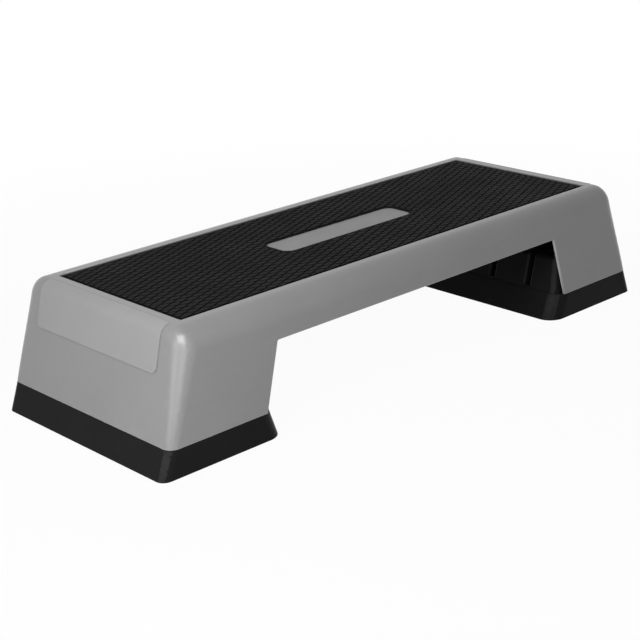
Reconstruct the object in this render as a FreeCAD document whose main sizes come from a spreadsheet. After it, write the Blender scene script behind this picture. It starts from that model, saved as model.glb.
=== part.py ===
import FreeCAD, Part
import os

from FreeCAD import Placement, Rotation, Vector

# Aerobic step platform: a moulded deck with a rubber tread, standing on two feet that pull off.
# Lengths are millimetres. X runs along the deck, Y across it and Z up from the floor.

doc = FreeCAD.newDocument("aerobic_step")
sheet = doc.addObject("Spreadsheet::Sheet", "Sizes")

driving_sizes = [
    # Deck shell
    ("deck_top", 200, "floor to the rim round the tread"),
    ("shell_bottom", 44, "floor to the lower rim of the legs, where they stand on the bases"),
    ("shell_top_half_length", 459, "half length at the rim level, before the edges are rounded"),
    ("shell_top_half_width", 184.5, "half width at the rim level, before the edges are rounded"),
    ("end_lean", 39, "how far an end wall leans out from the rim level to the lower rim"),
    ("side_lean", 4.5, "how far a side wall leans out from the rim level to the lower rim"),
    ("shell_low_corner", 16, "rounding of the upright corners at the lower rim"),
    ("shell_top_corner", 30, "rounding of the upright corners at the top"),
    ("side_rounding", 34, "rounding of the top edges along the sides"),
    ("end_rounding", 22, "rounding of the top edges at the ends"),
    ("wall", 4, "thickness of the shell's walls"),
    ("deck_thickness", 4, "thickness of the deck below the tread"),
    ("leg_length", 171, "length of a leg along its lower rim"),
    ("arch_rise", 100, "height of the arch above the lower rim"),
    ("arch_lean", 27.5, "how far each side of the arch leans in towards its top"),
    ("arch_corner", 3, "rounding of the arch's upper corners"),
    # Ribs below the deck
    ("rib_thickness", 3, "thickness of the deck ribs"),
    ("rib_lift", 2, "how far the deck ribs stop above the top of the arch"),
    ("cross_rib_pitch", 100, "spacing of the ribs that run across"),
    ("guide_rib_thickness", 5, "thickness of the ribs that drop into the riser slots"),
    ("guide_rib_lift", 16, "how far the guide ribs stop above the lower rim"),
    ("guide_rib_reach", 58, "how far the guide ribs reach in from the end of the lower rim"),
    # Tread and badge
    ("end_rim", 29, "width of the rim at each end of the tread"),
    ("side_rim", 41.5, "width of the rim along each side of the tread"),
    ("mat_thickness", 3.4, "thickness of the tread"),
    ("mat_sink", 0.6, "how far the top of the tread lies below the rim"),
    ("mat_clearance", 0.8, "gap round the tread"),
    ("badge_length", 270, "length of the badge plate"),
    ("badge_width", 55, "width of the badge plate"),
    ("badge_corner", 13, "rounding of the badge plate's corners"),
    ("badge_thickness", 1.2, "thickness of the badge plate"),
    ("badge_clearance", 0.6, "gap round the badge plate"),
    # End panels
    ("panel_inset", 3, "how much narrower than the tread an end panel is at each side"),
    ("panel_drop", 65, "how far an end panel reaches below the rim"),
    ("panel_overlap", 13, "how far an end panel reaches in over the rounded edge"),
    ("panel_shift", 1.8, "how far an end panel stands out from the end wall"),
    ("panel_corner", 9, "rounding of an end panel's lower corners"),
    # Foot base
    ("base_ledge", 16, "how far the top of a base reaches into the arch"),
    ("base_inner_flare", 15, "how far a base's inner side leans out towards the floor"),
    ("base_end_flare", 15, "how far a base's end leans out towards the floor"),
    ("base_side_draft", 1, "how far a base's sides lean in towards the floor"),
    ("base_low_corner", 14, "rounding of a base's end corners at the floor"),
    ("base_inner_corner", 26, "rounding of a base's upright corners below the arch"),
    ("base_wall", 4, "thickness of a base's walls"),
    ("base_plate", 4, "thickness of a base's top plate"),
    ("base_rib_thickness", 3, "thickness of the ribs below a base's top plate"),
    ("base_rib_pitch", 76, "spacing of the two inner lengthwise base ribs"),
    ("base_rib_screw_gap", 36, "distance of the outer lengthwise base ribs from the side screws"),
    ("base_rib_lift", 4, "how far the base ribs stop above the base's lower rim"),
    # Floor pads
    ("pad_stand", 2, "how far the floor pads stand out below a base"),
    ("pad_thickness", 7, "thickness of a floor pad"),
    ("pad_diameter", 34, "diameter of a floor pad"),
    ("pad_boss_margin", 3, "how far the boss of a floor pad reaches past the pad"),
    ("pad_inset", 35, "distance of a floor pad's middle from the base's edges"),
    ("pad_dish_clearance", 1.5, "gap round the screw's head in the dish of a floor pad"),
    ("pad_dish_spare", 1, "how far the screw's head stays above the floor in that dish"),
    # Riser
    ("riser_rise", 57, "height of a riser above its base"),
    ("riser_setback", 2, "distance of a riser's foot from the inner edge of its base"),
    ("riser_inner_lean", 16, "how far a riser's inner face leans back towards its top"),
    ("riser_end_gap", 10, "distance of a riser's foot from the end of the lower rim"),
    ("riser_end_lean", 14, "how far a riser's outer face leans back towards its top"),
    ("riser_side_gap", 9, "distance of a riser's foot from the side of the lower rim"),
    ("riser_side_lean", 8, "how far a riser's flanks lean back towards its top"),
    ("riser_corner", 14, "rounding of a riser's upright corners"),
    ("riser_rounding", 8, "rounding of a riser's top edges"),
    ("slot_rounding", 5, "rounding of the edges beside a riser's slots"),
    ("riser_wall", 3.5, "thickness of a riser's walls"),
    ("slot_inner_offset", 41, "distance of the inner slots from the middle"),
    ("slot_outer_inset", 62, "distance of the outer slots from a riser's flanks at its foot"),
    ("slot_clearance", 2, "gap between a guide rib and each side of its slot"),
    ("slot_floor", 4, "thickness of a riser below its slots"),
    # Screws of the risers and floor pads
    ("screw_shank_diameter", 4, "diameter of a screw's shank"),
    ("screw_shank_length", 18, "length of a screw's shank"),
    ("screw_head_diameter", 9, "diameter of a screw's head"),
    ("screw_head_height", 3, "height of a screw's head"),
    ("screw_slot_width", 1.4, "width of the cross in a screw's head"),
    ("screw_slot_length", 5.4, "length of the cross in a screw's head"),
    ("screw_slot_depth", 1.6, "depth of the cross in a screw's head"),
    ("screw_clearance", 0.4, "gap round a screw's shank"),
    ("screw_boss_wall", 3.1, "thickness of the boss round a screw's hole"),
    ("screw_inner_inset", 63, "distance of the inner screws from a riser's inner foot"),
    ("screw_outer_inset", 56, "distance of the outer screws from a riser's outer foot"),
    ("screw_side_inset", 30, "distance of the side screws from a riser's flanks at its foot"),
]
for row, (alias, value, meaning) in enumerate(driving_sizes, start=1):
    sheet.set(f"A{row}", meaning)
    sheet.set(f"B{row}", str(value))
    sheet.setAlias(f"B{row}", alias)
doc.recompute()

half_turn = Placement(Vector(), Rotation(Vector(0, 0, 1), 180))
feet = {"right": Placement(), "left": half_turn}
spare = 10  # how far a cutting shape reaches past what it cuts


def size(alias):
    return float(sheet.get(alias))


def bind(item, **expressions):
    for name, expression in expressions.items():
        item.setExpression(name.replace("__", "."), expression)
    return item


def place(item, x, y, z):
    return bind(item, Placement__Base__x=x, Placement__Base__y=y, Placement__Base__z=z)


def box(name, x_span, y_span, z_span):
    item = doc.addObject("Part::Box", name)
    bind(item, Length=f"({x_span[1]}) - ({x_span[0]})")
    bind(item, Width=f"({y_span[1]}) - ({y_span[0]})")
    bind(item, Height=f"({z_span[1]}) - ({z_span[0]})")
    return place(item, x_span[0], y_span[0], z_span[0])


def post(name, diameter, x, y, z_span):
    item = doc.addObject("Part::Cylinder", name)
    bind(item, Radius=f"({diameter}) / 2", Height=f"({z_span[1]}) - ({z_span[0]})")
    return place(item, x, y, z_span[0])


def plank(name, middle, thickness, x_span, z_span):
    # An upright plate along X, as thick as asked, about the line y = middle.
    y_span = (f"{middle} - {thickness} / 2", f"{middle} + {thickness} / 2")
    return box(name, x_span, y_span, z_span)


def mirrored(half):
    return (f"-({half})", half)


def tapered_block(name, z_span, low_x, low_y, high_x, high_y):
    item = doc.addObject("Part::Wedge", name)
    # This solid tapers along its own Y, so it is turned to stand up; its own Z then points to -Y.
    item.Placement = Placement(Vector(), Rotation(Vector(1, 0, 0), 90))
    bind(item, Ymin=z_span[0], Ymax=z_span[1])
    bind(item, Xmin=low_x[0], Xmax=low_x[1], X2min=high_x[0], X2max=high_x[1])
    bind(item, Zmin=f"-({low_y[1]})", Zmax=f"-({low_y[0]})")
    bind(item, Z2min=f"-({high_y[1]})", Z2max=f"-({high_y[0]})")
    return item


def rounded(name, block, low_corner=0, high_corner=0, top_edges=None, inner_corner=0):
    # Rounds the upright edges, from one radius below to another above, and the edges of the top,
    # for which a pair gives the radius along the sides and the radius at the ends.
    # The upright edges towards the middle of the deck can have a radius of their own.
    doc.recompute()
    extent = block.Shape.BoundBox
    chosen = []
    for number, edge in enumerate(block.Shape.Edges, start=1):
        start = edge.valueAt(edge.FirstParameter)
        end = edge.valueAt(edge.LastParameter)
        upright = abs(start.z - end.z) > extent.ZLength / 2
        on_top = min(start.z, end.z) > extent.ZMax - extent.ZLength / 100
        if upright and inner_corner and max(start.x, end.x) < extent.Center.x:
            chosen.append((number, inner_corner, inner_corner))
        elif upright and low_corner:
            radii = (low_corner, high_corner) if start.z < end.z else (high_corner, low_corner)
            chosen.append((number, radii[0], radii[1]))
        elif on_top and top_edges:
            across = abs(start.y - end.y) > abs(start.x - end.x)
            radius = top_edges[1] if across else top_edges[0]
            chosen.append((number, radius, radius))
    item = doc.addObject("Part::Fillet", name)
    item.Base = block
    item.Edges = chosen
    return item


def fuse(name, shapes):
    item = doc.addObject("Part::MultiFuse", name)
    item.Shapes = shapes
    return item


def common(name, shapes):
    item = doc.addObject("Part::MultiCommon", name)
    item.Shapes = shapes
    return item


def cut(name, base, tool):
    item = doc.addObject("Part::Cut", name)
    item.Base = base
    item.Tool = tool
    return item


# Sizes and places that follow from the driving ones

shell_low_half_length = "(Sizes.shell_top_half_length + Sizes.end_lean)"
shell_low_half_width = "(Sizes.shell_top_half_width + Sizes.side_lean)"
arch_low_half = f"({shell_low_half_length} - Sizes.leg_length)"
arch_top_half = f"({arch_low_half} - Sizes.arch_lean)"
mat_half_length = "(Sizes.shell_top_half_length - Sizes.end_rim)"
mat_half_width = "(Sizes.shell_top_half_width - Sizes.side_rim)"
mat_recess = "(Sizes.mat_thickness + Sizes.mat_sink)"
base_top_inner = f"({arch_low_half} - Sizes.base_ledge)"
base_low_inner = f"({base_top_inner} - Sizes.base_inner_flare)"
base_low_outer = f"({shell_low_half_length} + Sizes.base_end_flare)"
base_low_half_width = f"({shell_low_half_width} - Sizes.base_side_draft)"
riser_low_inner = f"({base_top_inner} + Sizes.riser_setback)"
riser_top_inner = f"({riser_low_inner} + Sizes.riser_inner_lean)"
riser_low_outer = f"({shell_low_half_length} - Sizes.riser_end_gap)"
riser_top_outer = f"({riser_low_outer} - Sizes.riser_end_lean)"
riser_low_half_width = f"({shell_low_half_width} - Sizes.riser_side_gap)"
riser_top_half_width = f"({riser_low_half_width} - Sizes.riser_side_lean)"
slot_outer_offset = f"({riser_low_half_width} - Sizes.slot_outer_inset)"
slot_width = "(Sizes.guide_rib_thickness + 2 * Sizes.slot_clearance)"
screw_hole = "(Sizes.screw_shank_diameter + 2 * Sizes.screw_clearance)"
pad_dish_depth = "(Sizes.screw_head_height + Sizes.pad_dish_spare)"

# Deck shell

deck_rise = "(Sizes.deck_top - Sizes.shell_bottom)"
inner_drop = f"(Sizes.deck_thickness + {mat_recess})"
deck_underside = f"Sizes.deck_top - {inner_drop}"
rib_bottom = "Sizes.shell_bottom + Sizes.arch_rise + Sizes.rib_lift"
slot_lines = {
    "front_outer": f"-{slot_outer_offset}",
    "front_inner": "-Sizes.slot_inner_offset",
    "rear_inner": "Sizes.slot_inner_offset",
    "rear_outer": slot_outer_offset,
}
cross_ribs_each_way = 3


def deck_block(name):
    block = tapered_block(
        name + "_block",
        ("Sizes.shell_bottom", "Sizes.deck_top"),
        mirrored(shell_low_half_length),
        mirrored(shell_low_half_width),
        mirrored("Sizes.shell_top_half_length"),
        mirrored("Sizes.shell_top_half_width"),
    )
    return rounded(
        name,
        block,
        size("shell_low_corner"),
        size("shell_top_corner"),
        (size("side_rounding"), size("end_rounding")),
    )


def deck_hollow(name):
    # The hollow follows the leaning walls up to the underside of the deck.
    def at_underside(low, top):
        lean = f"({low} - {top}) / {deck_rise}"
        return f"{top} - Sizes.wall + {inner_drop} * {lean}"

    high_length = at_underside(shell_low_half_length, "Sizes.shell_top_half_length")
    high_width = at_underside(shell_low_half_width, "Sizes.shell_top_half_width")
    block = tapered_block(
        name + "_block",
        ("Sizes.shell_bottom", deck_underside),
        mirrored(f"{shell_low_half_length} - Sizes.wall"),
        mirrored(f"{shell_low_half_width} - Sizes.wall"),
        mirrored(high_length),
        mirrored(high_width),
    )
    deck_drop = size("deck_thickness") + size("mat_thickness") + size("mat_sink")
    mean_wall = (size("wall") + deck_drop) / 2
    return rounded(
        name,
        block,
        size("shell_low_corner") - size("wall"),
        size("shell_top_corner") - size("wall"),
        (size("side_rounding") - mean_wall, size("end_rounding") - mean_wall),
    )


def deck_ribs(hollow):
    ribs = []
    between_legs = mirrored(f"{cross_ribs_each_way} * Sizes.cross_rib_pitch")
    full_width = mirrored(shell_low_half_width)
    rib_span = (rib_bottom, "Sizes.deck_top")
    guide_rib_start = f"{shell_low_half_length} - Sizes.guide_rib_reach"
    guide_span = ("Sizes.shell_bottom + Sizes.guide_rib_lift", "Sizes.deck_top")
    for place_name, line in slot_lines.items():
        name = place_name + "_rib"
        ribs.append(plank(name, line, "Sizes.rib_thickness", between_legs, rib_span))
        right_span = (guide_rib_start, shell_low_half_length)
        left_span = (f"-{shell_low_half_length}", f"-({guide_rib_start})")
        for side, x_span in (("right", right_span), ("left", left_span)):
            name = f"{side}_{place_name}_guide"
            ribs.append(plank(name, line, "Sizes.guide_rib_thickness", x_span, guide_span))
    for step in range(-cross_ribs_each_way, cross_ribs_each_way + 1):
        middle = f"{step} * Sizes.cross_rib_pitch"
        x_span = (f"{middle} - Sizes.rib_thickness / 2", f"{middle} + Sizes.rib_thickness / 2")
        ribs.append(box("cross_rib", x_span, full_width, rib_span))
    return common("trimmed_ribs", [fuse("all_ribs", ribs), hollow])


def arch_cutter():
    half_width = f"{shell_low_half_width} + {spare}"
    block = tapered_block(
        "arch_block",
        ("Sizes.shell_bottom", "Sizes.shell_bottom + Sizes.arch_rise"),
        mirrored(arch_low_half),
        mirrored(half_width),
        mirrored(arch_top_half),
        mirrored(half_width),
    )
    doc.recompute()
    whole = block.Shape.BoundBox
    corners = []
    for number, edge in enumerate(block.Shape.Edges, start=1):
        extent = edge.BoundBox
        on_top = extent.ZMin > whole.ZMax - whole.ZLength / 100
        if on_top and extent.YLength > whole.YLength / 2:
            corners.append((number, size("arch_corner"), size("arch_corner")))
    item = doc.addObject("Part::Fillet", "arch")
    item.Base = block
    item.Edges = corners
    return item


deck_outer = deck_block("deck_outer")
deck_inner = deck_hollow("deck_inner")
tread_recess = box(
    "tread_recess",
    mirrored(f"{mat_half_length} + Sizes.mat_clearance"),
    mirrored(f"{mat_half_width} + Sizes.mat_clearance"),
    (f"Sizes.deck_top - {mat_recess}", f"Sizes.deck_top + {spare}"),
)
deck_walls = cut("deck_walls", deck_outer, deck_inner)
ribbed_deck = fuse("ribbed_deck", [deck_walls, deck_ribs(deck_inner)])
arched_deck = cut("arched_deck", ribbed_deck, arch_cutter())
deck_shell = cut("deck_shell", arched_deck, tread_recess)
deck_shell.Refine = True

# Tread and badge

recess_floor = f"Sizes.deck_top - {mat_recess}"


def badge_block(name, grow, z_span, corner):
    block = box(
        name + "_block",
        mirrored(f"Sizes.badge_length / 2 + {grow}"),
        mirrored(f"Sizes.badge_width / 2 + {grow}"),
        z_span,
    )
    return rounded(name, block, corner, corner)


mat_block = box(
    "mat_block",
    mirrored(mat_half_length),
    mirrored(mat_half_width),
    (recess_floor, f"{recess_floor} + Sizes.mat_thickness"),
)
mat_window = badge_block(
    "mat_window",
    "Sizes.badge_clearance",
    (f"{recess_floor} - {spare}", f"Sizes.deck_top + {spare}"),
    size("badge_corner") + size("badge_clearance"),
)
tread_mat = cut("tread_mat", mat_block, mat_window)
centre_badge = badge_block(
    "centre_badge",
    "0",
    (recess_floor, f"{recess_floor} + Sizes.badge_thickness"),
    size("badge_corner"),
)

# End panels


def end_panel(side, turn):
    # The panel is what the deck's own block, moved a little outward, adds inside a window.
    # It thins towards the rim, because the rounded edge turns upward there.
    skin = deck_block(side + "_panel_skin")
    place(skin, "Sizes.panel_shift", "0", "0")
    frame = box(
        side + "_panel_frame",
        (
            "Sizes.shell_top_half_length - Sizes.panel_overlap",
            f"{shell_low_half_length} + {spare}",
        ),
        mirrored(f"{mat_half_width} - Sizes.panel_inset"),
        ("Sizes.deck_top - Sizes.panel_drop", f"Sizes.deck_top + {spare}"),
    )
    doc.recompute()
    low = frame.Shape.BoundBox.ZMin
    corners = []
    for number, edge in enumerate(frame.Shape.Edges, start=1):
        extent = edge.BoundBox
        if extent.ZMax < low + size("panel_drop") / 100 and extent.XLength > extent.YLength:
            corners.append((number, size("panel_corner"), size("panel_corner")))
    window = doc.addObject("Part::Fillet", side + "_panel_window")
    window.Base = frame
    window.Edges = corners
    panel = cut(side + "_end_panel", common(side + "_panel_cover", [skin, window]), deck_outer)
    panel.Placement = turn
    return panel


end_panels = [end_panel(side, turn) for side, turn in feet.items()]

# Screws, the same for the risers and the floor pads


def screw(x, y, seat):
    # A screw driven upward, whose head bears on the level called seat.
    head_low = f"{seat} - Sizes.screw_head_height"
    head = post("screw_head", "Sizes.screw_head_diameter", x, y, (head_low, seat))
    shank_span = (head_low, f"{seat} + Sizes.screw_shank_length")
    shank = post("screw_shank", "Sizes.screw_shank_diameter", x, y, shank_span)
    slot_z = (f"{head_low} - Sizes.screw_head_height", f"{head_low} + Sizes.screw_slot_depth")
    half_width = "Sizes.screw_slot_width / 2"
    half_length = "Sizes.screw_slot_length / 2"

    def bar(half_x, half_y):
        x_span = (f"{x} - {half_x}", f"{x} + {half_x}")
        return box("screw_slot", x_span, (f"{y} - {half_y}", f"{y} + {half_y}"), slot_z)

    cross = fuse("screw_cross", [bar(half_width, half_length), bar(half_length, half_width)])
    return cut("screw", fuse("screw_body", [head, shank]), cross)


def screw_bore(x, y, low, seat):
    depth = f"{seat} + Sizes.screw_shank_length + Sizes.screw_clearance"
    return post("screw_bore", screw_hole, x, y, (low, depth))


def screw_group(name, screws, turn):
    group = doc.addObject("Part::Compound", name)
    group.Links = screws
    group.Placement = turn
    return group


# Foot bases

plate_underside = "Sizes.shell_bottom - Sizes.base_plate"
pad_spots_x = {
    "inner": f"{base_low_inner} + Sizes.pad_inset",
    "outer": f"{base_low_outer} - Sizes.pad_inset",
}
pad_spots_y = {
    "front": f"-({base_low_half_width} - Sizes.pad_inset)",
    "rear": f"{base_low_half_width} - Sizes.pad_inset",
}
screw_side_offset = f"({riser_low_half_width} - Sizes.screw_side_inset)"
screw_spots_x = (
    f"({riser_low_inner} + Sizes.screw_inner_inset)",
    f"({riser_low_outer} - Sizes.screw_outer_inset)",
)
screw_spots_y = (f"-{screw_side_offset}", "0", screw_side_offset)
base_rib_outer_offset = f"({screw_side_offset} - Sizes.base_rib_screw_gap)"
base_rib_lines = (
    f"-{base_rib_outer_offset}",
    "-Sizes.base_rib_pitch / 2",
    "Sizes.base_rib_pitch / 2",
    base_rib_outer_offset,
)


def at_riser_screws(make):
    return [make(x, y) for x in screw_spots_x for y in screw_spots_y]


def at_pads(make):
    return [make(x, y) for x in pad_spots_x.values() for y in pad_spots_y.values()]


def base_block(name, inset, z_span, low_corner, high_corner, inner_corner):
    block = tapered_block(
        name + "_block",
        z_span,
        (f"{base_low_inner} + {inset}", f"{base_low_outer} - {inset}"),
        mirrored(f"{base_low_half_width} - {inset}"),
        (f"{base_top_inner} + {inset}", f"{shell_low_half_length} - {inset}"),
        mirrored(f"{shell_low_half_width} - {inset}"),
    )
    return rounded(name, block, low_corner, high_corner, inner_corner=inner_corner)


def base_fittings():
    # Ribs below the top plate, and a boss above each floor pad.
    x_span = (base_low_inner, base_low_outer)
    rib_span = ("Sizes.pad_stand + Sizes.base_rib_lift", "Sizes.shell_bottom")
    boss_span = ("Sizes.pad_thickness", "Sizes.shell_bottom")
    boss_diameter = "Sizes.pad_diameter + 2 * Sizes.pad_boss_margin"
    middle = f"({base_low_inner} + {base_low_outer}) / 2"
    half_rib = "Sizes.base_rib_thickness / 2"
    fittings = [
        plank("base_rib", line, "Sizes.base_rib_thickness", x_span, rib_span)
        for line in base_rib_lines
    ]
    cross_span = (f"{middle} - {half_rib}", f"{middle} + {half_rib}")
    fittings.append(
        box("base_cross_rib", cross_span, mirrored(shell_low_half_width), rib_span)
    )
    fittings += at_pads(lambda x, y: post("pad_boss", boss_diameter, x, y, boss_span))
    return fuse("base_fittings", fittings)


def foot_base(side, turn):
    outer = base_block(
        side + "_base_outer",
        "0",
        ("Sizes.pad_stand", "Sizes.shell_bottom"),
        size("base_low_corner"),
        size("shell_low_corner"),
        size("base_inner_corner"),
    )
    inner = base_block(
        side + "_base_inner",
        "Sizes.base_wall",
        ("Sizes.pad_stand", plate_underside),
        size("base_low_corner") - size("base_wall"),
        size("shell_low_corner") - size("base_wall"),
        size("base_inner_corner") - size("base_wall"),
    )
    tray = cut(side + "_base_tray", outer, inner)
    fittings = common(side + "_base_trimmed", [base_fittings(), inner])
    holes = at_pads(lambda x, y: screw_bore(x, y, "0", pad_dish_depth))
    holes += at_riser_screws(lambda x, y: screw_bore(x, y, "Sizes.pad_stand", plate_underside))
    base = cut(
        side + "_foot_base",
        fuse(side + "_base_body", [tray, fittings]),
        fuse(side + "_base_holes", holes),
    )
    base.Refine = True
    base.Placement = turn
    return base


foot_bases = [foot_base(side, turn) for side, turn in feet.items()]

# Floor pads with their screws


def floor_pad(name, x, y):
    disc = post("pad_disc", "Sizes.pad_diameter", x, y, ("0", "Sizes.pad_thickness"))
    dish_diameter = "Sizes.screw_head_diameter + 2 * Sizes.pad_dish_clearance"
    dish = post("pad_dish", dish_diameter, x, y, (f"-{spare}", pad_dish_depth))
    hole = post("pad_hole", screw_hole, x, y, ("0", f"Sizes.pad_thickness + {spare}"))
    return cut(name, disc, fuse("pad_opening", [dish, hole]))


floor_pads = []
for side, sign in (("right", ""), ("left", "-")):
    for depth, y in pad_spots_y.items():
        for reach, x in pad_spots_x.items():
            floor_pads.append(floor_pad(f"{side}_{depth}_{reach}_pad", f"{sign}({x})", y))
pad_screws = [
    screw_group(side + "_pad_screws", at_pads(lambda x, y: screw(x, y, pad_dish_depth)), turn)
    for side, turn in feet.items()
]

# Risers with their screws

riser_top = "Sizes.shell_bottom + Sizes.riser_rise"
slot_side = f"({slot_width} / 2 + Sizes.riser_wall)"


def riser_towers(side):
    # A tapered block, slotted lengthwise into five panels whose edges are then rounded together.
    block = tapered_block(
        side + "_riser_block",
        ("Sizes.shell_bottom", riser_top),
        (riser_low_inner, riser_low_outer),
        mirrored(riser_low_half_width),
        (riser_top_inner, riser_top_outer),
        mirrored(riser_top_half_width),
    )
    slot_x = (f"{riser_low_inner} - {spare}", f"{riser_low_outer} + {spare}")
    slot_z = ("Sizes.shell_bottom + Sizes.slot_floor", f"{riser_top} + {spare}")
    slots = [
        plank("riser_slot", line, slot_width, slot_x, slot_z)
        for line in slot_lines.values()
    ]
    slotted = cut(side + "_riser_slotted", block, fuse(side + "_riser_slots", slots))
    doc.recompute()
    extent = slotted.Shape.BoundBox
    flank_limit = extent.YMax - size("riser_side_lean") - size("slot_rounding")
    chosen = []
    for number, edge in enumerate(slotted.Shape.Edges, start=1):
        start = edge.valueAt(edge.FirstParameter)
        end = edge.valueAt(edge.LastParameter)
        upright = abs(start.z - end.z) > extent.ZLength / 2
        on_top = min(start.z, end.z) > extent.ZMax - extent.ZLength / 100
        on_flank = min(abs(start.y), abs(end.y)) > flank_limit
        along_x = abs(start.x - end.x) > extent.XLength / 2
        if upright:
            radius = size("riser_corner") if on_flank else size("slot_rounding")
        elif on_top:
            beside_slot = along_x and not on_flank
            radius = size("slot_rounding") if beside_slot else size("riser_rounding")
        else:
            continue
        chosen.append((number, radius, radius))
    towers = doc.addObject("Part::Fillet", side + "_riser_towers")
    towers.Base = slotted
    towers.Edges = chosen
    return towers


def riser_cavities():
    # One cavity below each of the five panels; the outermost two follow the leaning flanks.
    low_x = (f"{riser_low_inner} + Sizes.riser_wall", f"{riser_low_outer} - Sizes.riser_wall")
    high_x = (
        f"{riser_top_inner} + 2 * Sizes.riser_wall",
        f"{riser_top_outer} - 2 * Sizes.riser_wall",
    )
    low_flank = f"{riser_low_half_width} - Sizes.riser_wall"
    high_flank = f"{riser_top_half_width} - 2 * Sizes.riser_wall"
    z_span = ("Sizes.shell_bottom", f"{riser_top} - Sizes.riser_wall")
    lines = list(slot_lines.values())
    between = [(f"{a} + {slot_side}", f"{b} - {slot_side}") for a, b in zip(lines, lines[1:])]
    panels = [(span, span) for span in between]
    first_end = f"{lines[0]} - {slot_side}"
    last_start = f"{lines[-1]} + {slot_side}"
    panels.append(((f"-({low_flank})", first_end), (f"-({high_flank})", first_end)))
    panels.append(((last_start, low_flank), (last_start, high_flank)))
    return [
        tapered_block("riser_cavity", z_span, low_x, low_y, high_x, high_y)
        for low_y, high_y in panels
    ]


def foot_riser(side, turn):
    hollow = cut(
        side + "_riser_hollow", riser_towers(side), fuse(side + "_riser_voids", riser_cavities())
    )
    boss_diameter = f"{screw_hole} + 2 * Sizes.screw_boss_wall"
    boss_span = ("Sizes.shell_bottom", f"{riser_top} - Sizes.riser_wall / 2")
    bosses = at_riser_screws(
        lambda x, y: post("screw_boss", boss_diameter, x, y, boss_span)
    )
    bores = at_riser_screws(lambda x, y: screw_bore(x, y, plate_underside, plate_underside))
    riser = cut(
        side + "_foot_riser",
        fuse(side + "_riser_body", [hollow] + bosses),
        fuse(side + "_riser_bores", bores),
    )
    riser.Refine = True
    riser.Placement = turn
    return riser


foot_risers = [foot_riser(side, turn) for side, turn in feet.items()]
riser_screws = [
    screw_group(
        side + "_riser_screws", at_riser_screws(lambda x, y: screw(x, y, plate_underside)), turn
    )
    for side, turn in feet.items()
]

# Checks, then one file for each sub-part

doc.recompute()
sub_parts = [deck_shell, tread_mat, centre_badge]
sub_parts += end_panels + foot_bases + floor_pads + pad_screws + foot_risers + riser_screws
for item in doc.Objects:
    if "Invalid" in item.State or "Error" in item.State:
        raise RuntimeError(f"{item.Name} could not be built: {item.State}")
for part in sub_parts:
    part.Label = part.Name
    if part.Shape.isNull() or not part.Shape.isValid():
        raise RuntimeError(f"{part.Label} has no valid shape")
os.makedirs("parts", exist_ok=True)
for part in sub_parts:
    part.Shape.exportStep(f"parts/{part.Label}.step")
    extent = part.Shape.BoundBox
    print(part.Label, len(part.Shape.Solids), round(part.Shape.Volume), extent)
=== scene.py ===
import math

import bmesh
import bpy
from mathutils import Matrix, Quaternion, Vector


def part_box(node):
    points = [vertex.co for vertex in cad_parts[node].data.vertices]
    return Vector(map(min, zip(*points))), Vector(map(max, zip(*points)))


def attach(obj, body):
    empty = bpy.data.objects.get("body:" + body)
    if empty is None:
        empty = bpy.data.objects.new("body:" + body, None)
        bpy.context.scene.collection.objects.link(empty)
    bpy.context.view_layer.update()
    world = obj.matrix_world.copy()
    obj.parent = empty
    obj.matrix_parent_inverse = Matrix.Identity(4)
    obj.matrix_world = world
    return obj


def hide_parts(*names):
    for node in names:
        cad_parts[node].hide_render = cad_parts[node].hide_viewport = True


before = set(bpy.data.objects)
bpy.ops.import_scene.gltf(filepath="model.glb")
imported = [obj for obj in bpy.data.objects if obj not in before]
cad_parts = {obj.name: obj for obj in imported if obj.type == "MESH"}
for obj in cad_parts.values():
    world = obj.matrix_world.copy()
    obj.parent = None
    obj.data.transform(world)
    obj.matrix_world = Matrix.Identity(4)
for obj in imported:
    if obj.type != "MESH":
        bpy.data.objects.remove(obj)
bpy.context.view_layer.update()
scene = bpy.context.scene
scene.view_settings.view_transform = "Standard"
mm = 0.001
print("frame loaded,", len(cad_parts), "nodes")


# node helpers, for materials and geometry trees alike
def put(tree, kind, feeds=None, **settings):
    node = tree.nodes.new(kind)
    for key, value in settings.items():
        setattr(node, key, value)
    for key, value in (feeds or {}).items():
        if isinstance(value, bpy.types.NodeSocket):
            tree.links.new(value, node.inputs[key])
        else:
            node.inputs[key].default_value = value
    return node


def calc(tree, operation, *values):
    return put(tree, "ShaderNodeMath", dict(enumerate(values)), operation=operation).outputs[0]


def vector(tree, x=0.0, y=0.0, z=0.0):
    return put(tree, "ShaderNodeCombineXYZ", {"X": x, "Y": y, "Z": z}).outputs[0]


def ramp(tree, value, low, high, outLow=0.0, outHigh=1.0):
    feeds = {"Value": value, "From Min": low, "From Max": high, "To Min": outLow, "To Max": outHigh}
    return put(tree, "ShaderNodeMapRange", feeds).outputs["Result"]


def blendColours(tree, factor, first, second):
    return put(tree, "ShaderNodeMix", {0: factor, 6: first, 7: second}, data_type="RGBA").outputs[2]


def noise(tree, place, scale, detail=3.0, roughness=0.55):
    feeds = {"Vector": place, "Scale": scale, "Detail": detail, "Roughness": roughness}
    return put(tree, "ShaderNodeTexNoise", feeds).outputs["Fac"]


def attribute(tree, name):
    return put(tree, "ShaderNodeAttribute", attribute_name=name).outputs["Fac"]


def addGrain(tree, shader, height, depth):
    bump = put(tree, "ShaderNodeBump", {"Strength": 1.0, "Distance": depth, "Height": height})
    tree.links.new(bump.outputs["Normal"], shader.inputs["Normal"])


def seenDirectly(tree):
    # 1 for rays from the camera, also where they are mirrored or let through
    path = put(tree, "ShaderNodeLightPath").outputs
    mirrored = calc(tree, "MAXIMUM", path["Is Camera Ray"], path["Is Glossy Ray"])
    return calc(tree, "MAXIMUM", mirrored, path["Is Transmission Ray"])


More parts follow.
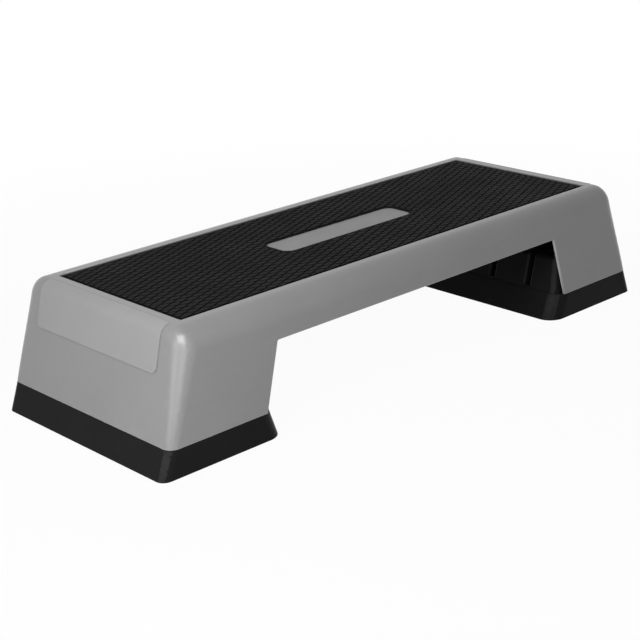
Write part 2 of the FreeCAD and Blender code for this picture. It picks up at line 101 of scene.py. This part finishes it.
def newMaterial(name):
    material = bpy.data.materials.new(name)
    material.use_nodes = True
    tree = material.node_tree
    shader = tree.nodes["Principled BSDF"]
    place = put(tree, "ShaderNodeTexCoord").outputs["Object"]
    return material, tree, shader, place


def grey(value):
    return (value, value, value * 1.01, 1.0)


noiseRange = (0.3, 0.7)  # most of a noise lies between these

# grey and black moulded plastic: spark-eroded grain, faint flow marks, edges lighter from rubbing and a
# painted highlight
greyPlastic = {
    "shade": 0.236, "drift": 0.010, "rubbedAndHighlit": 0.60,
    "roughness": 0.25, "roughnessDrift": 0.04, "specular": 0.8,
    "grainSize": 0.9 * mm, "grainDepth": 0.035 * mm,
}
blackPlastic = {
    "shade": 0.013, "drift": 0.002, "rubbedAndHighlit": 0.045,
    "roughness": 0.38, "roughnessDrift": 0.08, "specular": 0.03,
    "grainSize": 0.8 * mm, "grainDepth": 0.04 * mm,
}
panelPlastic = {
    "shade": 0.29, "drift": 0.010, "rubbedAndHighlit": 0.53,
    "roughness": 0.25, "roughnessDrift": 0.04, "specular": 0.8,
    "grainSize": 0.6 * mm, "grainDepth": 0.02 * mm,
}
badgePlastic = {
    "shade": 0.24, "drift": 0.008, "rubbedAndHighlit": 0.33,
    "roughness": 0.34, "roughnessDrift": 0.06, "specular": 0.3,
    "grainSize": 0.5 * mm, "grainDepth": 0.015 * mm,
}
plasticMarks = {  # the same on every plastic; scales are per metre
    "cloudScale": 9.0, "cloudShare": 0.7,
    "flowScale": (14.0, 90.0, 90.0), "flowShare": 0.3,
    "speckSize": 0.7,  # as a share of the grain
    "speckRange": (0.62, 0.8), "speckMost": 0.12, "speckLift": 1.25,
    "edgePatchScale": 60.0, "edgePatchLeast": 0.35, "edgePatchMost": 0.85,
    "glossScale": 25.0,
}


def mouldedPlastic(name, look):
    marks = plasticMarks
    material, tree, shader, place = newMaterial(name)
    cloud = noise(tree, place, marks["cloudScale"], 4.0)
    streaked = put(tree, "ShaderNodeMapping", {"Vector": place, "Scale": marks["flowScale"]})
    flow = noise(tree, streaked.outputs["Vector"], 1.0, 2.0)
    cloudPart = calc(tree, "MULTIPLY", cloud, marks["cloudShare"])
    flowPart = calc(tree, "MULTIPLY", flow, marks["flowShare"])
    drift = ramp(tree, calc(tree, "ADD", cloudPart, flowPart), *noiseRange)
    darker, lighter = look["shade"] - look["drift"], look["shade"] + look["drift"]
    body = blendColours(tree, drift, grey(darker), grey(lighter))
    speck = noise(tree, place, 1.0 / (marks["speckSize"] * look["grainSize"]), 2.0)
    dots = ramp(tree, speck, *marks["speckRange"], 0.0, marks["speckMost"])
    body = blendColours(tree, dots, body, grey(look["shade"] * marks["speckLift"]))
    patchy = noise(tree, place, marks["edgePatchScale"], 5.0, 0.7)
    patchy = ramp(tree, patchy, *noiseRange, marks["edgePatchLeast"], marks["edgePatchMost"])
    # rounded-off edges and marked faces take a lighter colour: rubbed wear and a painted highlight
    wornAndHighlit = calc(tree, "MULTIPLY", attribute(tree, "edgeWearAndHighlight"), patchy)
    colour = blendColours(tree, wornAndHighlit, body, grey(look["rubbedAndHighlit"]))
    tree.links.new(colour, shader.inputs["Base Color"])
    shader.inputs["Specular IOR Level"].default_value = look["specular"]
    smooth = look["roughness"] - look["roughnessDrift"] / 2
    gloss = noise(tree, place, marks["glossScale"], 4.0)
    gloss = ramp(tree, gloss, *noiseRange, smooth, smooth + look["roughnessDrift"])
    tree.links.new(gloss, shader.inputs["Roughness"])
    addGrain(tree, shader, noise(tree, place, 1.0 / look["grainSize"], 2.0), look["grainDepth"])
    return material


# rubber of the tread and the floor pads
treadRubber = {
    "shade": 0.007, "dusty": 0.015, "grooveShadeColour": 0.002, "rubbedAndHighlit": 0.026, "roughness": 0.58, "specular": 0.03,
    "grainSize": 0.6 * mm, "grainDepth": 0.06 * mm, "blotch": 5.0 * mm,
}
padRubber = {
    "shade": 0.015, "dusty": 0.032, "grooveShadeColour": 0.008, "rubbedAndHighlit": 0.04, "roughness": 0.7, "specular": 0.2,
    "grainSize": 0.9 * mm, "grainDepth": 0.08 * mm, "blotch": 2.0 * mm,
}
rubberMarks = {  # the same on both rubbers
    "cloudScale": 14.0, "roughnessDrift": 0.06,
    "dustRange": (0.4, 0.8), "dustMost": 0.7,
    "blotchRange": (0.45, 0.7), "blotchMost": 0.8,
    "edgePatchLeast": 0.2, "edgePatchMost": 0.9,
}


def rubber(name, look):
    marks = rubberMarks
    material, tree, shader, place = newMaterial(name)
    cloud = noise(tree, place, marks["cloudScale"], 5.0)
    dust = ramp(tree, cloud, *marks["dustRange"], 0.0, marks["dustMost"])
    blotches = noise(tree, place, 1.0 / look["blotch"], 3.0)
    blotches = ramp(tree, blotches, *marks["blotchRange"], 0.0, marks["blotchMost"])
    dust = calc(tree, "MAXIMUM", dust, blotches)
    body = blendColours(tree, dust, grey(look["shade"]), grey(look["dusty"]))
    # painted shade in the grooves, on the lozenge walls and on the plain strips
    body = blendColours(tree, attribute(tree, "paintedGrooveShade"), body, grey(look["grooveShadeColour"]))
    patchy = ramp(tree, cloud, *noiseRange, marks["edgePatchLeast"], marks["edgePatchMost"])
    # lozenge shoulders take a lighter colour: rubbed wear and a painted highlight
    wornAndHighlit = calc(tree, "MULTIPLY", attribute(tree, "edgeWearAndHighlight"), patchy)
    colour = blendColours(tree, wornAndHighlit, body, grey(look["rubbedAndHighlit"]))
    tree.links.new(colour, shader.inputs["Base Color"])
    shader.inputs["Specular IOR Level"].default_value = look["specular"]
    drift = marks["roughnessDrift"]
    gloss = ramp(tree, cloud, *noiseRange, look["roughness"] - drift, look["roughness"] + drift)
    tree.links.new(gloss, shader.inputs["Roughness"])
    addGrain(tree, shader, noise(tree, place, 1.0 / look["grainSize"], 3.0, 0.65), look["grainDepth"])
    return material


# zinc-plated steel of the screws
screwSteel = {
    "bright": 0.62, "dull": 0.42, "dullRange": (0.35, 0.7), "cloudScale": 380.0,
    "roughness": (0.24, 0.44),  # where it is smoothest and where it is roughest
}


def platedSteel(name, look):
    material, tree, shader, place = newMaterial(name)
    cloud = noise(tree, place, look["cloudScale"], 4.0)
    dulled = ramp(tree, cloud, *look["dullRange"])
    colour = blendColours(tree, dulled, grey(look["bright"]), grey(look["dull"]))
    tree.links.new(colour, shader.inputs["Base Color"])
    shader.inputs["Metallic"].default_value = 1.0
    gloss = ramp(tree, cloud, *noiseRange, *look["roughness"])
    tree.links.new(gloss, shader.inputs["Roughness"])
    return material


materials = {
    "deck": mouldedPlastic("greyMouldedPlastic", greyPlastic),
    "panel": mouldedPlastic("panelPlastic", panelPlastic),
    "foot": mouldedPlastic("blackMouldedPlastic", blackPlastic),
    "badge": mouldedPlastic("badgePlastic", badgePlastic),
    "tread": rubber("treadRubber", treadRubber),
    "pad": rubber("padRubber", padRubber),
    "screw": platedSteel("platedSteel", screwSteel),
}
print("materials made,", len(materials))


# mesh helpers
def newPiece(name, mesh):
    piece = bpy.data.objects.new(name, mesh)
    scene.collection.objects.link(piece)
    return piece


def settle(piece):
    # turns what the modifiers give into the piece's own plain mesh
    depsgraph = bpy.context.evaluated_depsgraph_get()
    mesh = bpy.data.meshes.new_from_object(
        piece.evaluated_get(depsgraph), preserve_all_data_layers=True, depsgraph=depsgraph
    )
    piece.modifiers.clear()
    piece.data = mesh
    mesh.name = piece.name
    return piece


def handOver(piece, body, slotName, *nodes):
    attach(piece, body)
    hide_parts(*nodes)


# how the edges of the moulded pieces are found and rounded off
rounding = {
    "weld": 0.002 * mm,
    "flat": math.radians(0.2),  # faces that differ by less become one
    "least": math.radians(38),  # edges that turn by less are left alone
    "sharp": math.radians(35),
    "segments": 3,
    "normalWeight": 80,
    "highlightTurn": (0.18, 1.3),  # y to x of a normal, where a rounded upright corner gets a painted highlight
}


def everyEdge(edge):
    return True


def onCornerHighlight(face):
    # the part of a rounded upright corner from the end face to just past its middle, where a painted
    # highlight goes
    least, most = rounding["highlightTurn"]
    x, y = abs(face.normal.x), abs(face.normal.y)
    return least * x < y < most * x


def softened(nodeName, pieceName, material, width, pick, roundHighlight=0.0, rubbedAndHighlit=None):
    # a copy of a CAD node whose picked edges are rounded off and marked for edge wear and a painted
    # highlight
    bm = bmesh.new()
    bm.from_mesh(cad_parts[nodeName].data)
    bmesh.ops.remove_doubles(bm, verts=bm.verts, dist=rounding["weld"])
    bmesh.ops.dissolve_limit(bm, angle_limit=rounding["flat"], verts=bm.verts, edges=bm.edges)
    wearAndHighlightLayer = bm.faces.layers.float.new("edgeWearAndHighlight")
    bm.normal_update()
    for face in bm.faces:
        # faces on a rounded upright corner get a painted highlight, faces that the picker names get the
        # lighter edge colour
        if roundHighlight and onCornerHighlight(face):
            face[wearAndHighlightLayer] = roundHighlight
        elif rubbedAndHighlit and rubbedAndHighlit(face):
            face[wearAndHighlightLayer] = 1.0
    edges = []
    for edge in bm.edges:
        if not edge.is_manifold or not edge.is_convex:
            continue
        if edge.calc_face_angle() > rounding["least"] and pick(edge):
            edges.append(edge)
    made = bmesh.ops.bevel(
        bm, geom=edges, offset=width, offset_type="OFFSET", segments=rounding["segments"], profile=0.5,
        affect="EDGES", clamp_overlap=True,
    )
    # the rounded-off edges take the lighter edge colour: wear and a painted highlight
    for face in made["faces"]:
        face[wearAndHighlightLayer] = 1.0
    for face in bm.faces:
        face.smooth = True
    mesh = bpy.data.meshes.new(pieceName)
    bm.to_mesh(mesh)
    bm.free()
    mesh.materials.append(material)
    mesh.set_sharp_from_angle(angle=rounding["sharp"])
    piece = newPiece(pieceName, mesh)
    weighted = piece.modifiers.new("weighted", "WEIGHTED_NORMAL")
    weighted.keep_sharp = True
    weighted.weight = rounding["normalWeight"]
    return settle(piece)


# grey shell, with its moulded edges rounded off
shellLow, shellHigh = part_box("deck_shell")
shellEdges = {
    "width": 0.9 * mm,
    "rim": 0.4 * mm,  # how near to the top or the lower rim an edge counts as on it
    "skin": 5 * mm,  # how near to the outside of the side walls
    "archTop": 145 * mm,
    "outward": 0.15, "sideways": 0.9,  # least share of a normal that points there
    "edgeways": 0.2, "downward": 0.05,  # most of a normal that points to the side or up on a bare wall edge
}


def edgeMiddle(edge):
    return (edge.verts[0].co + edge.verts[1].co) / 2


def onOutside(edge):
    middle = edgeMiddle(edge)
    away = Vector((middle.x, middle.y, 0.0)).normalized()
    return any(face.normal.dot(away) > shellEdges["outward"] for face in edge.link_faces)


def shellEdge(edge):
    middle = edgeMiddle(edge)
    if middle.z > shellHigh.z - shellEdges["rim"]:
        return True
    if middle.z < shellLow.z + shellEdges["rim"]:
        return onOutside(edge)
    if abs(middle.y) > shellHigh.y - shellEdges["skin"]:
        least = shellEdges["sideways"] * abs(middle.y)
        return any(face.normal.y * middle.y > least for face in edge.link_faces)
    return False


def highlitWallEdge(face):
    # the bare wall thickness all along the arch and the lower rims, which gets a painted highlight
    middle = face.calc_center_median()
    inSkin = abs(middle.y) > shellHigh.y - shellEdges["skin"]
    edgeways = abs(face.normal.y) < shellEdges["edgeways"]
    downward = face.normal.z < shellEdges["downward"]
    return inSkin and edgeways and downward and middle.z < shellEdges["archTop"]


deckShell = softened(
    "deck_shell", "deckShell", materials["deck"], shellEdges["width"], shellEdge, rubbedAndHighlit=highlitWallEdge
)
handOver(deckShell, "deck", "deck_plastic", "deck_shell")

# end panels and badge
panelEdges = {"width": 1.0 * mm, "thinTop": 9 * mm}
badgeEdges = {"width": 0.35 * mm}


def panelEdge(edge):
    # not at the top, where the panel thins out into the rim
    return max(corner.co.z for corner in edge.verts) < shellHigh.z - panelEdges["thinTop"]


for side in ("left", "right"):
    node = side + "_end_panel"
    panel = softened(node, side + "EndPanel", materials["panel"], panelEdges["width"], panelEdge)
    handOver(panel, "deck", "deck_plastic", node)
badge = softened("centre_badge", "badgePlate", materials["badge"], badgeEdges["width"], everyEdge)
handOver(badge, "deck", "deck_plastic", "centre_badge")
print("shell, end panels and badge softened")


# tread: lozenges between crossing grooves, cut out round the badge
matLow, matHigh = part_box("tread_mat")
badgeLow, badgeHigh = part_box("centre_badge")
tread = {
    "stepsAlong": 28,  # half lozenges from the middle to an end
    "stepsAcross": 21,  # half lozenges from the middle to a side
    "border": 4.5 * mm,  # plain strip all round
    "borderDrop": 0.2 * mm,  # that strip lies half as far below the groove floors
    "grooveDepth": 1.4 * mm,
    "grooveShare": 0.85,  # what the grooves leave of a lozenge at their floor
    "wallShare": 0.93,  # what the sloping walls leave of that
    "shoulder": 0.25 * mm,
    "shoulderShare": 0.955,
    "windowGap": 0.6 * mm,
    "windowCorner": 13.6 * mm,
    "windowStrip": 3.5 * mm,  # plain strip round the window, level with the border
    "cornerSteps": 8,
    "wallShadeShare": 0.6, "stripShadeShare": 0.8,  # how strong the painted shade on walls and strips is, as a share of that in the grooves
    "weld": 0.01 * mm, "sheetWeld": 0.05 * mm, "trimSlack": 0.1 * mm,
    "cutAbove": 5 * mm, "cutDepth": 20 * mm,  # room for the window's cutter
}


def geometryTree(name, inputs):
    tree = bpy.data.node_groups.new(name, "GeometryNodeTree")
    ids = {}
    for label, kind in inputs.items():
        socket = tree.interface.new_socket(label, in_out="INPUT", socket_type="NodeSocket" + kind)
        ids[label] = socket.identifier
    tree.interface.new_socket("Geometry", in_out="OUTPUT", socket_type="NodeSocketGeometry")
    return tree, put(tree, "NodeGroupInput").outputs, ids


def welded(tree, shape, distance):
    feeds = {"Geometry": shape, "Distance": distance}
    return put(tree, "GeometryNodeMergeByDistance", feeds).outputs["Geometry"]


def joined(tree, *parts):
    node = put(tree, "GeometryNodeJoinGeometry")
    for part in parts:
        tree.links.new(part, node.inputs["Geometry"])
    return welded(tree, node.outputs["Geometry"], tread["weld"])


def moved(tree, shape, place):
    feeds = {"Geometry": shape, "Translation": place}
    return put(tree, "GeometryNodeTransform", feeds).outputs["Geometry"]


def marked(tree, shape, name, value, selection=True):
    feeds = {"Geometry": shape, "Selection": selection, "Name": name, "Value": value}
    node = put(tree, "GeometryNodeStoreNamedAttribute", feeds, data_type="FLOAT", domain="FACE")
    return node.outputs["Geometry"]


def slab(tree, sheet, drop):
    # closes a flat sheet that faces up into a slab that reaches down by drop
    offset = vector(tree, z=calc(tree, "MULTIPLY", drop, -1.0))
    feeds = {"Mesh": sheet, "Offset": offset, "Offset Scale": 1.0, "Individual": False}
    lower = put(tree, "GeometryNodeExtrudeMesh", feeds).outputs["Mesh"]
    return put(tree, "GeometryNodeFlipFaces", {"Mesh": lower}).outputs["Mesh"]


def roundedSlab(tree, length, width, corner, top, drop):
    feeds = {"Width": length, "Height": width}
    line = put(tree, "GeometryNodeCurvePrimitiveQuadrilateral", feeds).outputs[0]
    feeds = {"Curve": line, "Radius": corner, "Count": tread["cornerSteps"]}
    curve = put(tree, "GeometryNodeFilletCurve", feeds, mode="POLY").outputs[0]
    flat = put(tree, "GeometryNodeFillCurve", {"Curve": curve}, mode="NGONS").outputs[0]
    lid = moved(tree, flat, vector(tree, z=top))
    return joined(tree, lid, slab(tree, lid, drop))


def combined(tree, operation, parts, base=None):
    feeds = {} if base is None else {"Mesh 1": base}
    node = put(tree, "GeometryNodeMeshBoolean", feeds, operation=operation, solver="MANIFOLD")
    for part in parts:
        tree.links.new(part, node.inputs["Mesh 2"])
    return node.outputs["Mesh"]


def lozengeSheet(tree, size, level):
    fieldLength = calc(tree, "SUBTRACT", size["Half Length"], size["Border"])
    fieldWidth = calc(tree, "SUBTRACT", size["Half Width"], size["Border"])

    # a square grid, sheared so that each cell becomes a lozenge
    corners = calc(tree, "ADD", size["Grid Cells"], 1.0)
    grid = put(tree, "GeometryNodeMeshGrid", {
        "Size X": size["Grid Cells"], "Size Y": size["Grid Cells"],
        "Vertices X": corners, "Vertices Y": corners,
    }).outputs["Mesh"]
    position = put(tree, "GeometryNodeInputPosition").outputs[0]
    axis = put(tree, "ShaderNodeSeparateXYZ", {0: position}).outputs
    stepX = calc(tree, "DIVIDE", fieldLength, size["Steps Along"])
    stepY = calc(tree, "DIVIDE", fieldWidth, size["Steps Across"])
    shearedX = calc(tree, "MULTIPLY", calc(tree, "SUBTRACT", axis[0], axis[1]), stepX)
    shearedY = calc(tree, "MULTIPLY", calc(tree, "ADD", axis[0], axis[1]), stepY)
    feeds = {"Geometry": grid, "Position": vector(tree, shearedX, shearedY, level)}
    cells = put(tree, "GeometryNodeSetPosition", feeds).outputs[0]

    # cells whose middle is past the border go, and those on it are cut off there
    beyond = []
    for along, half in ((axis[0], fieldLength), (axis[1], fieldWidth)):
        limit = calc(tree, "ADD", half, tread["trimSlack"])
        beyond.append(calc(tree, "GREATER_THAN", calc(tree, "ABSOLUTE", along), limit))
    feeds = {"Geometry": cells, "Selection": calc(tree, "MAXIMUM", *beyond)}
    inside = put(tree, "GeometryNodeDeleteGeometry", feeds, domain="FACE").outputs[0]
    reach = vector(tree, fieldLength, fieldWidth, 1.0)
    back = put(tree, "ShaderNodeVectorMath", {0: reach, "Scale": -1.0}, operation="SCALE").outputs[0]
    high = put(tree, "ShaderNodeVectorMath", {0: position, 1: reach}, operation="MINIMUM").outputs[0]
    held = put(tree, "ShaderNodeVectorMath", {0: high, 1: back}, operation="MAXIMUM").outputs[0]
    trimmed = put(tree, "GeometryNodeSetPosition", {"Geometry": inside, "Position": held}).outputs[0]
    return welded(tree, trimmed, tread["sheetWeld"])


def raisedLozenges(tree, size, sheet):
    # each lozenge is drawn in, raised with sloping walls, and given a small shoulder; grooves and walls are
    # marked for painted shade, the shoulder for edge wear and a painted highlight
    rise = calc(tree, "SUBTRACT", size["Groove Depth"], size["Shoulder"])
    steps = (
        (0.0, "Groove Share", "paintedGrooveShade", 1.0),
        (rise, "Wall Share", "paintedGrooveShade", tread["wallShadeShare"]),
        (size["Shoulder"], "Shoulder Share", "edgeWearAndHighlight", 1.0),
    )
    shape, chosen = marked(tree, sheet, "paintedGrooveShade", 0.0), True
    for height, share, mark, amount in steps:
        feeds = {"Mesh": shape, "Selection": chosen, "Offset Scale": height, "Individual": True}
        raised = put(tree, "GeometryNodeExtrudeMesh", feeds)
        chosen = raised.outputs["Top"]
        sides = marked(tree, raised.outputs["Mesh"], mark, amount, raised.outputs["Side"])
        feeds = {"Geometry": sides, "Selection": chosen, "Scale": size[share]}
        shape = put(tree, "GeometryNodeScaleElements", feeds, domain="FACE").outputs[0]
    return shape


def backing(tree, size, top):
    # the plain sheet below the lozenges, marked for painted shade
    thickness = calc(tree, "SUBTRACT", top, size["Sheet Bottom"])
    length = calc(tree, "MULTIPLY", size["Half Length"], 2.0)
    width = calc(tree, "MULTIPLY", size["Half Width"], 2.0)
    block = put(tree, "GeometryNodeMeshCube", {"Size": vector(tree, length, width, thickness)})
    lift = calc(tree, "ADD", size["Sheet Bottom"], calc(tree, "MULTIPLY", thickness, 0.5))
    lifted = moved(tree, block.outputs["Mesh"], vector(tree, z=lift))
    return marked(tree, lifted, "paintedGrooveShade", tread["stripShadeShare"])


def treadTree():
    tree, size, ids = geometryTree("lozengeTread", {
        "Half Length": "Float", "Half Width": "Float", "Border": "Float", "Border Drop": "Float",
        "Steps Along": "Int", "Steps Across": "Int", "Grid Cells": "Int",
        "Tread Top": "Float", "Sheet Bottom": "Float", "Groove Depth": "Float",
        "Groove Share": "Float", "Wall Share": "Float", "Shoulder": "Float", "Shoulder Share": "Float",
        "Window Length": "Float", "Window Width": "Float", "Window Corner": "Float",
        "Window Strip": "Float", "Rubber": "Material",
    })
    grooveFloor = calc(tree, "SUBTRACT", size["Tread Top"], size["Groove Depth"])
    sheetTop = calc(tree, "SUBTRACT", grooveFloor, calc(tree, "MULTIPLY", size["Border Drop"], 0.5))
    sheet = lozengeSheet(tree, size, grooveFloor)
    lozenges = raisedLozenges(tree, size, sheet)
    field = joined(tree, lozenges, slab(tree, sheet, size["Border Drop"]))
    mat = combined(tree, "UNION", (field, backing(tree, size, sheetTop)))

    # the badge's window, with a plain strip round it
    length, width, corner = size["Window Length"], size["Window Width"], size["Window Corner"]
    above = calc(tree, "ADD", size["Tread Top"], tread["cutAbove"])
    twice = calc(tree, "MULTIPLY", size["Window Strip"], 2.0)
    strip = roundedSlab(
        tree, calc(tree, "ADD", length, twice), calc(tree, "ADD", width, twice),
        calc(tree, "ADD", corner, size["Window Strip"]), above, calc(tree, "SUBTRACT", above, sheetTop),
    )
    window = roundedSlab(tree, length, width, corner, above, tread["cutDepth"])
    opened = combined(tree, "DIFFERENCE", (strip, window), mat)
    realized = put(tree, "GeometryNodeRealizeInstances", {"Geometry": opened}).outputs["Geometry"]
    feeds = {"Geometry": realized, "Material": size["Rubber"]}
    painted = put(tree, "GeometryNodeSetMaterial", feeds).outputs["Geometry"]
    put(tree, "NodeGroupOutput", {"Geometry": painted})
    return tree, ids


def makeTread():
    tree, ids = treadTree()
    piece = newPiece("treadMat", bpy.data.meshes.new("treadMat"))
    modifier = piece.modifiers.new("lozenges", "NODES")
    modifier.node_group = tree
    steps = tread["stepsAlong"] + tread["stepsAcross"]
    values = {
        "Half Length": matHigh.x, "Half Width": matHigh.y,
        "Border": tread["border"], "Border Drop": tread["borderDrop"],
        "Steps Along": tread["stepsAlong"], "Steps Across": tread["stepsAcross"],
        "Grid Cells": 2 * math.ceil((steps + 1) / 2),
        "Tread Top": matHigh.z, "Sheet Bottom": matLow.z, "Groove Depth": tread["grooveDepth"],
        "Groove Share": tread["grooveShare"], "Wall Share": tread["wallShare"],
        "Shoulder": tread["shoulder"], "Shoulder Share": tread["shoulderShare"],
        "Window Length": badgeHigh.x - badgeLow.x + 2 * tread["windowGap"],
        "Window Width": badgeHigh.y - badgeLow.y + 2 * tread["windowGap"],
        "Window Corner": tread["windowCorner"], "Window Strip": tread["windowStrip"],
        "Rubber": materials["tread"],
    }
    for label, value in values.items():
        modifier[ids[label]] = value
    settle(piece)
    print("tread made,", len(piece.data.polygons), "faces")
    return piece


handOver(makeTread(), "deck", "tread_rubber", "tread_mat")

# feet: bases and risers with rounded edges and a painted highlight on the rounded corners, screws and pads
# as they are
footEdges = {"base": 0.8 * mm, "riser": 0.5 * mm}
# how strongly the rounded corners of the feet are painted with a highlight
footCornerHighlight = 0.8


def paint(node, material):
    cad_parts[node].material_slots[0].material = material


for side in ("left", "right"):
    for kind, width in footEdges.items():
        node = f"{side}_foot_{kind}"
        name = f"{side}Foot{kind.title()}"
        piece = softened(node, name, materials["foot"], width, everyEdge, roundHighlight=footCornerHighlight)
        handOver(piece, side + "_foot", "foot_plastic", node)
    for kind in ("riser", "pad"):
        paint(f"{side}_{kind}_screws", materials["screw"])
    for depth in ("front", "rear"):
        for reach in ("inner", "outer"):
            paint(f"{side}_{depth}_{reach}_pad", materials["pad"])
print("feet dressed")

# floor, backdrop and light
stage = {
    "floorHalf": 6.0, "floorShade": 0.6, "floorRoughness": 0.9, "ambient": 0.18,
    "seeThrough": 0.96, "fadeStart": 0.6, "fadeEnd": 1.6,  # the floor fades out away from the object
}


def floorMaterial():
    material, tree, shader, place = newMaterial("paleFloor")
    shader.inputs["Base Color"].default_value = grey(stage["floorShade"])
    shader.inputs["Roughness"].default_value = stage["floorRoughness"]
    below = put(tree, "ShaderNodeNewGeometry").outputs["Backfacing"]
    away = put(tree, "ShaderNodeVectorMath", {0: place}, operation="LENGTH").outputs["Value"]
    fade = ramp(tree, away, stage["fadeStart"], stage["fadeEnd"], stage["seeThrough"], 1.0)
    clear = calc(tree, "MAXIMUM", calc(tree, "MULTIPLY", seenDirectly(tree), fade), below)
    gone = put(tree, "ShaderNodeBsdfTransparent").outputs[0]
    mix = put(tree, "ShaderNodeMixShader", {0: clear, 1: shader.outputs[0], 2: gone})
    tree.links.new(mix.outputs[0], tree.nodes["Material Output"].inputs["Surface"])
    return material


def paleRoom():
    world = bpy.data.worlds.new("paleRoom")
    world.use_nodes = True
    tree = world.node_tree
    backdrop = tree.nodes["Background"].inputs
    backdrop["Color"].default_value = (1.0, 1.0, 1.0, 1.0)
    glow = calc(tree, "MULTIPLY", seenDirectly(tree), 1.0 - stage["ambient"])
    tree.links.new(calc(tree, "ADD", glow, stage["ambient"]), backdrop["Strength"])
    return world


half = stage["floorHalf"]
floorCorners = [(-half, -half, 0), (half, -half, 0), (half, half, 0), (-half, half, 0)]
floorMesh = bpy.data.meshes.new("floor")
floorMesh.from_pydata(floorCorners, [], [(0, 1, 2, 3)])
floorMesh.materials.append(floorMaterial())
newPiece("floor", floorMesh)
scene.world = paleRoom()

# glare says whether glossy surfaces mirror the lamp
nearEnd = (-0.45, -0.15, 0.15)
lamps = {
    "side": {"place": (-1.69, -0.37, 0.49), "aim": nearEnd, "size": 0.8, "power": 3.67, "glare": True},
    "front": {"place": (-1.26, -1.11, 0.49), "aim": nearEnd, "size": 0.8, "power": 4.03, "glare": True},
    "top": {"place": (-0.91, -0.54, 0.82), "aim": nearEnd, "size": 0.6, "power": 6.7, "glare": True},
    "back": {
        "place": (-1.12, 1.49, 1.66), "aim": (-0.2, -0.1, 0.12), "size": 0.6, "power": 2.98, "glare": False,
    },
    "fill": {
        "place": (1.9, 0.6, 0.05), "aim": (0.45, 0.05, 0.1), "size": 0.3, "power": 13.0, "glare": False,
    },
}


def aimed(place, aim, roll=0.0):
    turn = (Vector(aim) - Vector(place)).to_track_quat("-Z", "Y")
    return turn @ Quaternion((0.0, 0.0, 1.0), roll)


for name, setting in lamps.items():
    lamp = bpy.data.lights.new(name + "Lamp", "AREA")
    lamp.size = setting["size"]
    lamp.energy = setting["power"]
    holder = newPiece(name + "Lamp", lamp)
    holder.visible_camera = False  # other views may look past it
    holder.visible_glossy = setting["glare"]
    holder.location = setting["place"]
    holder.rotation_mode = "QUATERNION"
    holder.rotation_quaternion = aimed(setting["place"], setting["aim"])

# camera, solved from the photograph's edges
view = {
    "place": (-1.5614, -1.6570, 0.8807), "aim": (-0.12625, -0.08291, 0.1),
    "roll": math.radians(-2.394), "lens": 85.1, "sensor": 36.0,
}
camera = bpy.data.cameras.new("camera")
camera.lens = view["lens"]
camera.sensor_width = view["sensor"]
holder = newPiece("camera", camera)
holder.location = view["place"]
holder.rotation_mode = "QUATERNION"
holder.rotation_quaternion = aimed(view["place"], view["aim"], view["roll"])
scene.camera = holder
print("stage, lamps and camera set")
